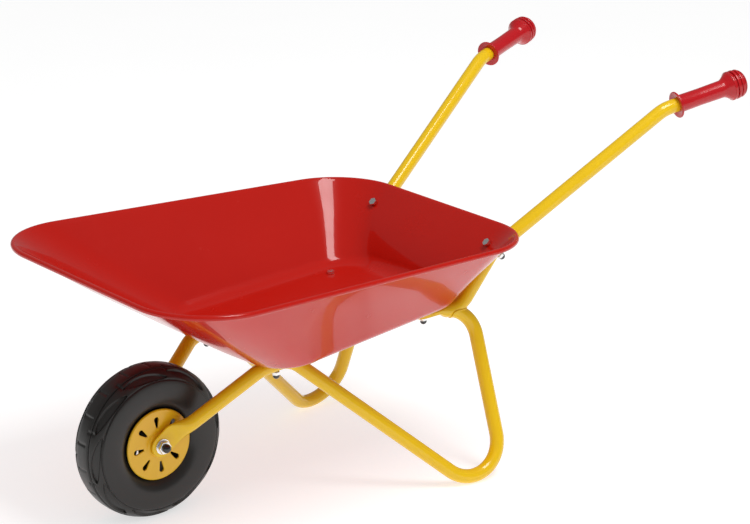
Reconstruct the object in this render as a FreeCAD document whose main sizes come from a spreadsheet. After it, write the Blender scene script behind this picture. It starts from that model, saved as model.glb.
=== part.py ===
import FreeCAD, Part
import math
import os

import Sketcher
from FreeCAD import Placement, Rotation, Vector

# A small steel wheelbarrow with one wheel: a pressed tray on two bent tubes a side.
# Row frame: millimetres, +Z up, wheel at -X, handles at +X, Y across, ground at z = 0,
# origin under the middle of the bounding box. "Left" is the pusher's left, at -Y.
# Stations are distances behind the axle; station_x() turns one into a row X.

doc = FreeCAD.newDocument("wheelbarrow")
sheet = doc.addObject("Spreadsheet::Sheet", "Sizes")

SIZES = {
    # wheel
    "wheel_radius": 85,
    "tyre_half_width": 25,
    "tyre_wall": 4,
    "tread_half_width": 14,
    "tread_drop": 2,
    "shoulder_drop": 12,
    "hub_radius": 39.7,
    "hub_face": 21.3,
    "hub_plate": 2.5,
    "hub_skirt_radius": 35,
    "hub_skirt_wall": 2.5,
    "hub_boss_radius": 13,
    "hub_boss_face": 22.5,
    "slot_count": 8,
    "slot_inner": 19,
    "slot_outer": 32,
    "slot_inner_half": 1.3,
    "slot_outer_half": 3,
    "slot_phase": 5,
    "sleeve_radius": 9,
    "bush_radius": 6.5,
    "bush_flange_radius": 8.5,
    "bush_flange": 1,
    "bush_length": 14,
    # axle and what is stacked on it
    "axle_diameter": 8,
    "axle_play": 0.4,
    "washer_radius": 8.5,
    "washer_thickness": 1,
    "axle_nut_flats": 13,
    "axle_nut_height": 5,
    "axle_cap_radius": 4.9,
    "axle_cap_height": 6.5,
    # tubes
    "tube_radius": 8,
    "tube_wall": 1.2,
    "flat_half_width": 12.5,
    "flat_thickness": 3,
    "flat_length": 15,
    "flat_run_out": 42,
    "handle_flat_half_width": 10.5,
    "handle_flat_thickness": 7,
    "floor_bend": 30,
    "foot_bend": 40,
    "leg_top_bend": 34,
    "wall_bend": 26,
    "grip_bend": 45,
    # fork and leg, stations behind the axle and distances from the centre plane
    "fork_out": 65.7,
    "fork_bolt": 120.5,
    "fork_bend_lead": 18.5,
    "fork_bend_trail": 19.5,
    "foot_station": 367.8,
    "foot_out": 175.1,
    "leg_top_station": 371.5,
    "leg_top_out": 94,
    "leg_top_drop": 12,
    # handle
    "rear_bolt": 310,
    "rear_bolt_out": 84,
    "handle_run_out": 32,
    "wall_foot_behind": 3,
    "wall_foot_inside": 12,
    "wall_touch_gap": 4.05,
    "wall_touch_out": 103.5,
    "wall_touch_above_axle": 167,
    "handle_high_station": 598,
    "handle_high_out": 159.3,
    "handle_high_above_axle": 302.2,
    "grip_end_station": 689.5,
    "grip_end_out": 183.05,
    "grip_end_above_axle": 323,
    # grips
    "grip_length": 91,
    "grip_bore_depth": 81,
    "grip_radius": 10,
    "flange_radius": 15.5,
    "flange_thickness": 2,
    "knob_radius": 17,
    "knob_start": 58,
    "ring_groove": 1.6,
    "ring_pitch": 5,
    # tray
    "sheet_thickness": 1,
    "floor_above_axle": 86,
    "floor_rise": 0.094,
    "floor_front": 95,
    "floor_rear": 356,
    "floor_front_half": 120,
    "floor_rear_half": 102,
    "floor_front_corner": 47,
    "floor_rear_corner": 45,
    "floor_bend_inside": 24,
    "rim_front": -81.7,
    "rim_rear": 410.5,
    "rim_front_half": 203.5,
    "rim_rear_half": 175,
    "rim_front_corner": 88,
    "rim_rear_corner": 80,
    "rim_above_axle": 197.3,
    "rim_fall": 0.0145,
    "bead_radius": 3,
    "waist_share": 0.6,
    "waist_side": 3,
    "waist_rear": 7,
    "waist_corner": 15,
    # small fasteners
    "bolt_diameter": 5,
    "head_flats": 8,
    "head_height": 3.2,
    "nut_flats": 8,
    "nut_height": 3.6,
    "cap_radius": 3.8,
    "cap_height": 5,
    "thread_stand": 1.5,
    "axle_stand": 1.7,
    # clearances
    "running_clearance": 0.05,
    "press_clearance": 0.02,
    "thread_clearance": 0.05,
    "hole_clearance": 0.2,
    "seat_gap": 0.3,
}


def fill_sheet():
    """One row for each size: its name in column A, its number in column B with the alias."""
    for row, (name, value) in enumerate(SIZES.items(), start=1):
        sheet.set(f"A{row}", name)
        sheet.set(f"B{row}", str(value))
        sheet.setAlias(f"B{row}", name)
    doc.recompute()


fill_sheet()


def size(name):
    return float(sheet.get(name))


def expression(text):
    """The value of an expression in the sheet's names, such as 'hub_face - 2 * tyre_wall'."""
    return float(sheet.evalExpression(text))


def bound(text):
    """The same expression as another object of the document has to write it."""
    words = []
    word = ""
    for letter in text + " ":
        if letter.isalnum() or letter in "_.":
            word += letter
            continue
        if word:
            words.append("Sizes." + word if word in SIZES else word)
            word = ""
        words.append(letter)
    return "".join(words).strip()


nodes = []


def node(item, label):
    item.Label = label
    nodes.append(item)
    return item


def feature(label, shape):
    item = doc.addObject("Part::Feature", label)
    item.Shape = shape
    return node(item, label)


# ---------------------------------------------------------------- turned parts

def plane_of(body, role):
    return next(f for f in body.Origin.OriginFeatures if f.Role == role)


def turned_body(label, profile):
    """A body turned about its own Z from (radius, height) corners given as expressions."""
    body = doc.addObject("PartDesign::Body", label)
    sketch = body.newObject("Sketcher::SketchObject", label + "_profile")
    sketch.AttachmentSupport = (plane_of(body, "XZ_Plane"), [""])
    sketch.MapMode = "FlatFace"
    corners = [Vector(expression(r), expression(z), 0) for r, z in profile]
    count = len(corners)
    for i, corner in enumerate(corners):
        sketch.addGeometry(Part.LineSegment(corner, corners[(i + 1) % count]))
    for i in range(count):
        sketch.addConstraint(Sketcher.Constraint("Coincident", i, 2, (i + 1) % count, 1))
    for i, (radius, height) in enumerate(profile):
        for kind, text, value in (("DistanceX", radius, corners[i].x), ("DistanceY", height, corners[i].y)):
            place = sketch.addConstraint(Sketcher.Constraint(kind, -1, 1, i, 1, value))
            if any(name in text for name in SIZES):
                sketch.setExpression(f"Constraints[{place}]", bound(text))
    turn = body.newObject("PartDesign::Revolution", label + "_turn")
    turn.Profile = sketch
    turn.ReferenceAxis = (sketch, ["V_Axis"])
    turn.Angle = 360
    body.Tip = turn
    doc.recompute()
    return node(body, label)


# ---------------------------------------------------------------- positions

TRAY_SLOPE = math.atan(size("floor_rise"))
FLOOR_NORMAL = Vector(-math.sin(TRAY_SLOPE), 0, math.cos(TRAY_SLOPE))
FLOOR_ALONG = Vector(math.cos(TRAY_SLOPE), 0, math.sin(TRAY_SLOPE))


def above_axle(name):
    """A height above the ground from one that is measured from the axle."""
    return size("wheel_radius") + size(name)


def floor_z(station):
    """Height of the tray floor's upper face."""
    return above_axle("floor_above_axle") + size("floor_rise") * (station - size("fork_bolt"))


def rim_z(station):
    return above_axle("rim_above_axle") - size("rim_fall") * (station - size("rim_front"))


def unit(vector):
    return Vector(vector).normalize()


def across(out, side):
    return -out if side == "left" else out


def grip_direction():
    low = Vector(size("handle_high_station"), size("handle_high_out"), above_axle("handle_high_above_axle"))
    high = Vector(size("grip_end_station"), size("grip_end_out"), above_axle("grip_end_above_axle"))
    return unit(high - low)


def grip_start():
    end = Vector(size("grip_end_station"), size("grip_end_out"), above_axle("grip_end_above_axle"))
    return end - grip_direction() * size("grip_bore_depth")


GRIP_BORE = "tube_radius + running_clearance"


def grip_profile():
    """Flange, barrel, cone to the knob, three ring grooves, and a domed end."""
    profile = [
        (GRIP_BORE, "0"),
        ("flange_radius", "0"),
        ("flange_radius", "flange_thickness"),
        ("grip_radius", "flange_thickness + 1.5"),
        ("grip_radius", "knob_start"),
        ("knob_radius - 1.5", "knob_start + 11"),
    ]
    start = "knob_start + 12"
    for ring in range(3):
        base = f"{start} + {ring} * ring_pitch"
        crest = "knob_radius" if ring < 2 else "knob_radius - 0.6"
        profile.append((crest, f"{base}"))
        profile.append((crest, f"{base} + ring_pitch - ring_groove"))
        profile.append((f"{crest} - ring_groove", f"{base} + ring_pitch - ring_groove"))
        profile.append((f"{crest} - ring_groove", f"{base} + ring_pitch"))
    profile += [
        ("knob_radius - 2", f"{start} + 3 * ring_pitch"),
        ("knob_radius - 5", "grip_length - 2.6"),
        ("knob_radius - 10", "grip_length - 0.7"),
        ("0", "grip_length"),
        ("0", "grip_bore_depth"),
        (GRIP_BORE, "grip_bore_depth"),
    ]
    return profile


def rear_reach():
    """Station of the rearmost point of a grip."""
    way = grip_direction()
    lean = math.hypot(way.y, way.z)
    start = grip_start().x
    return max(start + expression(z) * way.x + expression(r) * lean for r, z in grip_profile())


# The tyre's front and the grips' ends are equally far from the origin.
AXLE_X = (size("wheel_radius") - rear_reach()) / 2


def place(point, side="right"):
    """A point given by station, distance from the centre plane and height, in the row frame."""
    return Vector(point[0] + AXLE_X, across(point[1], side), point[2])


AXLE_HEIGHT = size("wheel_radius")

# ---------------------------------------------------------------- tubes


def bent_path(corners, radii):
    """Straight runs through the corners with a tangent arc of the given radius at each one."""
    edges = []
    start = corners[0]
    for i, radius in enumerate(radii, start=1):
        back = unit(corners[i - 1] - corners[i])
        ahead = unit(corners[i + 1] - corners[i])
        half = back.getAngle(ahead) / 2
        reach = radius / math.tan(half)
        first = corners[i] + back * reach
        last = corners[i] + ahead * reach
        centre = corners[i] + unit(back + ahead) * (radius / math.sin(half))
        middle = centre - unit(back + ahead) * radius
        edges.append(Part.LineSegment(start, first).toShape())
        edges.append(Part.Arc(first, middle, last).toShape())
        start = last
    edges.append(Part.LineSegment(start, corners[-1]).toShape())
    return Part.Wire(edges)


def circle_from(centre, normal, seam_way, radius):
    """A circle whose seam lies the given way from its centre."""
    ring = Part.Circle(Vector(0, 0, 0), Vector(0, 0, 1), radius).toShape()
    turned = Rotation(seam_way, unit(normal).cross(seam_way), unit(normal), "ZXY")
    ring.Placement = Placement(centre, turned)
    return Part.Wire(ring)


def pipe(path, radius):
    first = path.Edges[0]
    start = first.valueAt(first.FirstParameter)
    tangent = first.tangentAt(first.FirstParameter)
    ring = Part.Wire(Part.Circle(start, tangent, radius).toShape())
    return path.makePipeShell([ring], True, True)


def oval(centre, wide, thin, half_wide, half_thin, squareness, count=24):
    """A closed curve from a circle (squareness 1) to a flat bar with round corners (below 1)."""
    points = []
    for i in range(count):
        angle = 2 * math.pi * i / count
        across_share = math.copysign(abs(math.cos(angle)) ** squareness, math.cos(angle))
        up_share = math.copysign(abs(math.sin(angle)) ** squareness, math.sin(angle))
        points.append(centre + wide * (half_wide * across_share) + thin * (half_thin * up_share))
    curve = Part.BSplineCurve()
    curve.interpolate(Points=points, PeriodicFlag=True)
    return Part.Wire(curve.toShape())


FLAT_SQUARENESS = 0.5
NECK_STEPS = 8
NOSE_ANGLES = (10, 25, 40, 55, 72, 90)


def pressed_end(eye, along, thin, joint, joint_along, half_flat, half_thin):
    """The pressed end of a tube: a flat with a round nose about its eye, growing to the round tube."""
    radius = size("tube_radius")
    wide = unit(thin.cross(along))
    rings = []
    for angle in NOSE_ANGLES:
        back = half_flat * math.cos(math.radians(angle))
        half_wide = half_flat * math.sin(math.radians(angle))
        rings.append(oval(eye - along * back, wide, thin, half_wide, half_thin, FLAT_SQUARENESS))
    flat_end = eye + along * size("flat_length")
    bend = Part.BezierCurve()
    reach = flat_end.distanceToPoint(joint) / 3
    bend.setPoles([flat_end, flat_end + along * reach, joint - joint_along * reach, joint])
    for step in range(NECK_STEPS):
        share = step / NECK_STEPS
        ease = share * share * (3 - 2 * share)
        centre = bend.value(share)
        tangent = unit(bend.tangent(share)[0])
        side_way = unit(thin.cross(tangent))
        thin_way = unit(tangent.cross(side_way))
        half_wide = half_flat + (radius - half_flat) * ease
        half_high = half_thin + (radius - half_thin) * ease
        squareness = FLAT_SQUARENESS + (1 - FLAT_SQUARENESS) * ease
        rings.append(oval(centre, side_way, thin_way, half_wide, half_high, squareness))
    side_way = unit(thin.cross(joint_along))
    rings.append(circle_from(joint, joint_along, side_way, radius))
    return Part.makeLoft(rings, True, True)


def bored(shape, point, direction, radius):
    """The shape with a round hole right through its tube or sheet at the point."""
    length = 6 * size("tube_radius")
    drill = Part.makeCylinder(radius, length, point - unit(direction) * (length / 2), unit(direction))
    return shape.cut(drill)


BOLT_HOLE = size("bolt_diameter") / 2 + size("hole_clearance")
AXLE_HOLE = size("axle_diameter") / 2 + size("hole_clearance") / 2

# Stack on the axle, from the wheel outwards.
PADDLE_INNER = expression("hub_boss_face + bush_flange + axle_play + washer_thickness")
PADDLE_OUTER = PADDLE_INNER + size("flat_thickness")
NUT_INNER = PADDLE_OUTER + size("washer_thickness")
NUT_OUTER = NUT_INNER + size("axle_nut_height")
AXLE_HALF = NUT_OUTER + size("axle_stand")

# The handle turns up just behind the floor's rear corner.
WALL_FOOT_STATION = size("floor_rear") + size("wall_foot_behind")
WALL_FOOT_OUT = size("floor_rear_half") - size("wall_foot_inside")

# Under the tray: the tubes lie against the floor's lower face.
BELOW_SHEET = size("sheet_thickness") + size("seat_gap")


def under_floor(station, out, depth):
    """A point below the floor's upper face, measured square to the floor."""
    return Vector(station, out, floor_z(station)) - FLOOR_NORMAL * depth


def foot_corner_height(front, rear_top):
    """Height of the virtual corner at the foot so that the bent tube just touches the ground."""
    radius = size("tube_radius")
    height = 0.0
    for _ in range(8):
        corner = Vector(size("foot_station"), size("foot_out"), height)
        path = bent_path([front, corner, rear_top], [size("foot_bend")])
        height -= path.BoundBox.ZMin - radius
    return height


def tube_corners():
    """Corner points of one side's two tubes, as (station, out, height)."""
    radius = size("tube_radius")
    depth = BELOW_SHEET + radius
    bolt = size("fork_bolt")
    front = under_floor(bolt - size("fork_bend_lead"), size("fork_out"), depth)
    rear = under_floor(bolt + size("fork_bend_trail"), size("fork_out"), depth)
    handle_turn = under_floor(WALL_FOOT_STATION, WALL_FOOT_OUT, depth)
    leg_top_depth = depth + size("leg_top_drop")
    leg_top = under_floor(size("leg_top_station"), size("leg_top_out"), leg_top_depth)
    foot = Vector(size("foot_station"), size("foot_out"), foot_corner_height(rear, leg_top))
    return front, rear, foot, leg_top, handle_turn


FORK_FRONT, LEG_FRONT, FOOT, LEG_TOP, WALL_FOOT = tube_corners()

# ---------------------------------------------------------------- tray


def plan_loop(front, rear, front_half, rear_half, front_corner, rear_corner, height):
    """A closed loop, rounded at four corners; height(station) gives each point's z."""
    corners = [Vector(front, -front_half, 0), Vector(rear, -rear_half, 0)]
    corners += [Vector(rear, rear_half, 0), Vector(front, front_half, 0)]
    radii = [front_corner, rear_corner, rear_corner, front_corner]
    slope = (height(rear) - height(front)) / (rear - front)
    lift = FreeCAD.Matrix()
    lift.A31 = slope
    lift.A34 = height(front) - slope * front
    pieces = []
    last = None
    first = None
    for i, radius in enumerate(radii):
        back = unit(corners[i - 1] - corners[i])
        ahead = unit(corners[(i + 1) % 4] - corners[i])
        half = back.getAngle(ahead) / 2
        start = corners[i] + back * (radius / math.tan(half))
        end = corners[i] + ahead * (radius / math.tan(half))
        inward = unit(back + ahead)
        middle = corners[i] + inward * (radius / math.sin(half) - radius)
        if last is not None:
            pieces.append((last, start))
        else:
            first = start
        pieces.append((start, middle, end))
        last = end
    pieces.append((last, first))
    edges = []
    for piece in pieces:
        points = [lift.multiply(point) for point in piece]
        if len(points) == 2:
            edges.append(Part.LineSegment(*points).toShape())
        else:
            centre_arc = Part.Arc(*[Vector(p.x, p.y, 0) for p in piece]).toShape()
            edges.append(centre_arc.transformGeometry(lift))
    wire = Part.Wire(Part.__sortEdges__(edges))
    wire.translate(Vector(AXLE_X, 0, 0))
    return wire


def tray_solid(inset, lift, bend):
    """The tray's filled form, drawn in by an inset at every wall and lifted off its floor."""
    share = size("waist_share")
    edge_inset = 2 * size("bead_radius") - size("sheet_thickness") + inset

    def floor_height(station):
        return floor_z(station) + lift

    def top_height(station):
        return rim_z(station) - size("bead_radius")

    def waist_height(station):
        return floor_z(station) + share * (top_height(station) - floor_z(station))

    def between(low, high):
        return size(low) + share * (high - size(low))

    floor = plan_loop(size("floor_front") + inset, size("floor_rear") - inset,
                      size("floor_front_half") - inset, size("floor_rear_half") - inset,
                      size("floor_front_corner") - inset, size("floor_rear_corner") - inset, floor_height)
    top_front = size("rim_front") + edge_inset
    top_rear = size("rim_rear") - edge_inset
    front_half = size("rim_front_half") - edge_inset
    rear_half = size("rim_rear_half") - edge_inset
    top = plan_loop(top_front, top_rear, front_half, rear_half,
                    size("rim_front_corner") - edge_inset, size("rim_rear_corner") - edge_inset, top_height)
    waist = plan_loop(between("floor_front", top_front - inset) + inset,
                      between("floor_rear", top_rear + inset) - inset - size("waist_rear"),
                      between("floor_front_half", front_half + inset) - inset - size("waist_side"),
                      between("floor_rear_half", rear_half + inset) - inset - size("waist_side"),
                      between("floor_front_corner", size("rim_front_corner")) - inset,
                      between("floor_rear_corner", size("rim_rear_corner")) - size("waist_corner") - inset,
                      waist_height)
    form = Part.makeLoft([floor, waist, top], True, False)
    base = min(form.Faces, key=lambda face: face.CenterOfMass.z)
    return form.makeFillet(bend, base.Edges)


def tray_shape():
    thick = size("sheet_thickness")
    bend = size("floor_bend_inside")
    outer = tray_solid(0, -thick, bend + thick)
    inner = tray_solid(1.25 * thick, 0, bend)
    shell = outer.cut(inner)
    radius = size("bead_radius")
    bead_path = plan_loop(size("rim_front") + radius, size("rim_rear") - radius,
                          size("rim_front_half") - radius, size("rim_rear_half") - radius,
                          size("rim_front_corner") - radius, size("rim_rear_corner") - radius,
                          lambda station: rim_z(station) - radius)
    bead = pipe(bead_path, radius)
    return shell.fuse(bead)


TRAY = tray_shape()

# ---------------------------------------------------------------- frame tubes


LEG_PAST_JOINT = 2


def fork_and_leg():
    """One bent tube: pressed eye on the axle, fork, short run under the floor, leg, foot, rear arm."""
    eye = Vector(0, PADDLE_INNER + size("flat_thickness") / 2, AXLE_HEIGHT)
    fork = unit(FORK_FRONT - eye)
    level = unit(Vector(fork.x, 0, fork.z))
    joint = eye + fork * size("flat_run_out")
    weld_depth = BELOW_SHEET + size("tube_radius")
    end = under_floor(size("rear_bolt") + size("handle_run_out") + LEG_PAST_JOINT, leg_end_out(), weld_depth)
    corners = [joint, FORK_FRONT, LEG_FRONT, FOOT, LEG_TOP, end]
    bends = [size("floor_bend"), size("floor_bend"), size("foot_bend"), size("leg_top_bend")]
    path = bent_path(corners, bends)
    tube = pipe(path, size("tube_radius"))
    hollow = pipe(path, size("tube_radius") - size("tube_wall"))
    half_thin = size("flat_thickness") / 2
    neck = pressed_end(eye, level, Vector(0, 1, 0), joint, fork, size("flat_half_width"), half_thin)
    solid = tube.fuse(neck).cut(hollow)
    solid = bored(solid, eye, Vector(0, 1, 0), AXLE_HOLE)
    bolt_point = under_floor(size("fork_bolt"), size("fork_out"), 0)
    return bored(solid, bolt_point, FLOOR_NORMAL, BOLT_HOLE)


def leg_end_out():
    """The leg's rear arm ends on the handle tube's centre line, seen from above."""
    run = size("handle_run_out") + LEG_PAST_JOINT
    share = run / (WALL_FOOT_STATION - size("rear_bolt"))
    return size("rear_bolt_out") + share * (WALL_FOOT_OUT - size("rear_bolt_out"))


# The rear wall's outer face looks back and down where the handle lies on it.
WALL_FACING = Vector(0.8, 0, -0.6)


def wall_touch():
    """Where the handle bears on the rear wall; its bend lies inside this corner, hence the gap."""
    out = size("wall_touch_out")
    height = above_axle("wall_touch_above_axle")
    inside = Vector(size("floor_rear") + AXLE_X, out, height)
    outside = Vector(size("rim_rear") + size("bead_radius") + AXLE_X, out, height)
    wall = Part.LineSegment(inside, outside).toShape().common(TRAY)
    station = max(vertex.Point.x for vertex in wall.Vertexes) - AXLE_X
    return Vector(station + size("wall_touch_gap"), out, height)


def handle_path():
    """Corners of the handle tube, from its pressed end under the floor to the end in the grip."""
    depth = BELOW_SHEET + size("tube_radius")
    eye_depth = BELOW_SHEET + size("handle_flat_thickness") / 2
    eye = under_floor(size("rear_bolt"), size("rear_bolt_out"), eye_depth)
    run = size("handle_run_out")
    share = run / (WALL_FOOT_STATION - size("rear_bolt"))
    out = size("rear_bolt_out") + share * (WALL_FOOT_OUT - size("rear_bolt_out"))
    joint = under_floor(size("rear_bolt") + run, out, depth)
    wall_top = wall_touch() + WALL_FACING * size("tube_radius")
    high = Vector(size("handle_high_station"), size("handle_high_out"), above_axle("handle_high_above_axle"))
    end = Vector(size("grip_end_station"), size("grip_end_out"), above_axle("grip_end_above_axle"))
    return eye, [joint, WALL_FOOT, wall_top, high, end]


HANDLE_EYE, HANDLE_CORNERS = handle_path()
HANDLE_BENDS = [size("wall_bend"), size("wall_bend"), size("grip_bend")]


def wall_bolt_line():
    """Middle of the bend behind the rear wall, and the way its bolt points, out of the tray."""
    foot, top, high = HANDLE_CORNERS[1:4]
    inward = unit(unit(foot - top) + unit(high - top))
    half = (foot - top).getAngle(high - top) / 2
    middle = top + inward * (size("wall_bend") / math.sin(half) - size("wall_bend"))
    return middle, inward


WALL_BOLT_POINT, WALL_BOLT_WAY = wall_bolt_line()


def handle_tube():
    path = bent_path(HANDLE_CORNERS, HANDLE_BENDS)
    tube = pipe(path, size("tube_radius"))
    hollow = pipe(path, size("tube_radius") - size("tube_wall"))
    joint = HANDLE_CORNERS[0]
    ahead = unit(HANDLE_CORNERS[1] - joint)
    plan = unit(Vector(ahead.x, ahead.y, 0))
    level = unit(Vector(plan.x, plan.y, size("floor_rise") * plan.x))
    half_flat = size("handle_flat_half_width")
    half_thin = size("handle_flat_thickness") / 2
    neck = pressed_end(HANDLE_EYE, level, FLOOR_NORMAL, joint, ahead, half_flat, half_thin)
    solid = tube.fuse(neck).cut(hollow)
    solid = bored(solid, HANDLE_EYE, FLOOR_NORMAL, BOLT_HOLE)
    return bored(solid, WALL_BOLT_POINT, WALL_BOLT_WAY, BOLT_HOLE)


HANDLE = handle_tube()
WELD_SEAT = pipe(bent_path(HANDLE_CORNERS, HANDLE_BENDS), size("tube_radius") + size("seat_gap"))
FORK_LEG = fork_and_leg().cut(WELD_SEAT)
FORK_LEG = max(FORK_LEG.Solids, key=lambda solid: solid.Volume)


def both_sides(shape, name):
    """The shape, drawn at +Y about the axle's station, set in the row frame on either side."""
    right = shape.copy()
    right.translate(Vector(AXLE_X, 0, 0))
    left = right.mirror(Vector(0, 0, 0), Vector(0, 1, 0))
    feature("left_" + name, left)
    feature("right_" + name, right)


both_sides(FORK_LEG, "fork_leg")
both_sides(HANDLE, "handle")


def wall_seat():
    """Where the wall bolt's line meets the tray's inner face."""
    start = WALL_BOLT_POINT + Vector(AXLE_X, 0, 0)
    reach = 6 * size("tube_radius")
    line = Part.LineSegment(start - WALL_BOLT_WAY * reach, start).toShape()
    inside = line.common(TRAY)
    return min((v.Point for v in inside.Vertexes), key=lambda p: (p - start).dot(WALL_BOLT_WAY))


WALL_SEAT = wall_seat()
FORK_SEAT = under_floor(size("fork_bolt"), size("fork_out"), 0) + Vector(AXLE_X, 0, 0)
REAR_SEAT = under_floor(size("rear_bolt"), size("rear_bolt_out"), 0) + Vector(AXLE_X, 0, 0)


def drilled_tray():
    tray = TRAY
    for seat, way in ((FORK_SEAT, FLOOR_NORMAL), (REAR_SEAT, FLOOR_NORMAL), (WALL_SEAT, WALL_BOLT_WAY)):
        other_seat = Vector(seat.x, -seat.y, seat.z)
        other_way = Vector(way.x, -way.y, way.z)
        for point, direction in ((seat, way), (other_seat, other_way)):
            tray = bored(tray, point, direction, BOLT_HOLE)
    return tray


feature("tray", drilled_tray())

# ---------------------------------------------------------------- fasteners


def pair(label, single):
    """A node of two alike: the piece as placed on the right, and its mirror image on the left."""
    twin = doc.addObject("Part::Mirroring", label + "_left")
    twin.Source = single
    twin.Normal = (0, 1, 0)
    both = doc.addObject("Part::Compound", label)
    both.Links = [single, twin]
    return node(both, label)


def cylinder(name, radius, height, base="0"):
    item = doc.addObject("Part::Cylinder", name)
    item.setExpression("Radius", bound(radius))
    item.setExpression("Height", bound(height))
    item.setExpression("Placement.Base.z", bound(base))
    return item


def hexagon(name, flats, height, base="0"):
    item = doc.addObject("Part::Prism", name)
    item.Polygon = 6
    item.setExpression("Circumradius", bound(flats) + " / sqrt(3)")
    item.setExpression("Height", bound(height))
    item.setExpression("Placement.Base.z", bound(base))
    return item


def joined(name, parts):
    item = doc.addObject("Part::MultiFuse", name)
    item.Shapes = parts
    return item


def without(name, base, tool):
    item = doc.addObject("Part::Cut", name)
    item.Base = base
    item.Tool = tool
    return item


def facing(point, outward):
    """A placement whose local +Z points the given way."""
    return Placement(point, Rotation(Vector(0, 0, 1), outward))


def bolt(name, reach, seat, way):
    """Hex head on its seat, shank away from it: local -Z runs into the sheet."""
    head = hexagon(name + "_head", "head_flats", "head_height", "0")
    shank = doc.addObject("Part::Cylinder", name + "_shank")
    shank.setExpression("Radius", bound("bolt_diameter / 2"))
    shank.Height = reach
    shank.Placement.Base = Vector(0, 0, -reach)
    item = joined(name + "_right", [head, shank])
    item.Placement = facing(seat, way * -1)
    return item


def nut(name, flats, height, bore, seat, way):
    body = hexagon(name + "_hex", flats, height)
    item = without(name + "_right", body, cylinder(name + "_bore", bore, height))
    item.Placement = facing(seat, way)
    return item


def cap(name, radius, height, bore, depth, seat, way):
    """A round skirt with a domed top, hollow where the thread end stands in it."""
    skirt = cylinder(name + "_skirt", radius, f"{height} - {radius}")
    dome = doc.addObject("Part::Sphere", name + "_dome")
    dome.setExpression("Radius", bound(radius))
    dome.Angle1 = 0
    dome.setExpression("Placement.Base.z", bound(f"{height} - {radius}"))
    form = joined(name + "_form", [skirt, dome])
    item = without(name + "_right", form, cylinder(name + "_bore", bore, depth))
    item.Placement = facing(seat, way)
    return item


THREAD_BORE = "bolt_diameter / 2 + thread_clearance"


def head_stand(seat, outward):
    """How far a head stays off the sheet, which may lean or curve under it."""
    head_radius = size("head_flats") / math.sqrt(3)
    stand = size("seat_gap")
    head = Part.makeCylinder(head_radius, size("head_height"), seat - outward * stand, outward * -1)
    while head.distToShape(TRAY)[0] < size("seat_gap") - 0.01:
        head.translate(outward * -0.1)
        stand += 0.1
    return stand


def fastener(prefix, seat, outward, stack):
    """Bolt, nut and cap on one line; stack is what lies between the head's seat and the nut."""
    names = [prefix + kind for kind in ("_bolts", "_nuts", "_caps")]
    stand = head_stand(seat, outward)
    head_seat = seat - outward * stand
    nut_seat = seat + outward * (stack + size("seat_gap"))
    cap_seat = nut_seat + outward * size("nut_height")
    reach = stand + stack + size("seat_gap") + size("nut_height") + size("thread_stand")
    pair(names[0], bolt(names[0], reach, head_seat, outward))
    pair(names[1], nut(names[1], "nut_flats", "nut_height", THREAD_BORE, nut_seat, outward))
    depth = "thread_stand + seat_gap"
    pair(names[2], cap(names[2], "cap_radius", "cap_height", THREAD_BORE, depth, cap_seat, outward))


DOWN = FLOOR_NORMAL * -1
SHEET = size("sheet_thickness")

# The wall bolt's nut lies in the hollow of the handle's bend, so its corners hold it off the tube.
HOLLOW = size("wall_bend") - size("tube_radius")
NUT_LIFT = HOLLOW - math.sqrt(HOLLOW ** 2 - expression("nut_flats ^ 2 / 3"))
WALL_STACK = (WALL_BOLT_POINT + Vector(AXLE_X, 0, 0) - WALL_SEAT).dot(WALL_BOLT_WAY)
WALL_STACK += size("tube_radius") + NUT_LIFT
fastener("fork_floor", FORK_SEAT, DOWN, BELOW_SHEET + 2 * size("tube_radius"))
fastener("rear_floor", REAR_SEAT, DOWN, BELOW_SHEET + size("handle_flat_thickness"))
fastener("rear_wall", WALL_SEAT, WALL_BOLT_WAY, WALL_STACK)

# ---------------------------------------------------------------- axle and its stack

AXLE_POINT = Vector(AXLE_X, 0, AXLE_HEIGHT)
OUT = Vector(0, 1, 0)


def on_axle(distance):
    return AXLE_POINT + OUT * distance


axle = doc.addObject("Part::Cylinder", "axle")
axle.setExpression("Radius", bound("axle_diameter / 2"))
axle.Height = 2 * AXLE_HALF
axle.Placement = facing(on_axle(-AXLE_HALF), OUT)
node(axle, "axle")

AXLE_BORE = "axle_diameter / 2 + running_clearance"


def washer(name, distance):
    ring = cylinder(name + "_disc", "washer_radius", "washer_thickness")
    item = without(name, ring, cylinder(name + "_bore", AXLE_BORE, "washer_thickness"))
    item.Placement = facing(on_axle(distance), OUT)
    return item


CAP_DEPTH = "axle_stand + seat_gap"
pair("inner_axle_washers", washer("inner_washer", PADDLE_INNER - size("washer_thickness")))
pair("outer_axle_washers", washer("outer_washer", PADDLE_OUTER))
pair("axle_nuts", nut("axle_nuts", "axle_nut_flats", "axle_nut_height", AXLE_BORE, on_axle(NUT_INNER), OUT))
CAP_SEAT = on_axle(NUT_OUTER)
pair("axle_caps", cap("axle_caps", "axle_cap_radius", "axle_cap_height", AXLE_BORE, CAP_DEPTH, CAP_SEAT, OUT))

# ---------------------------------------------------------------- wheel

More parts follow.
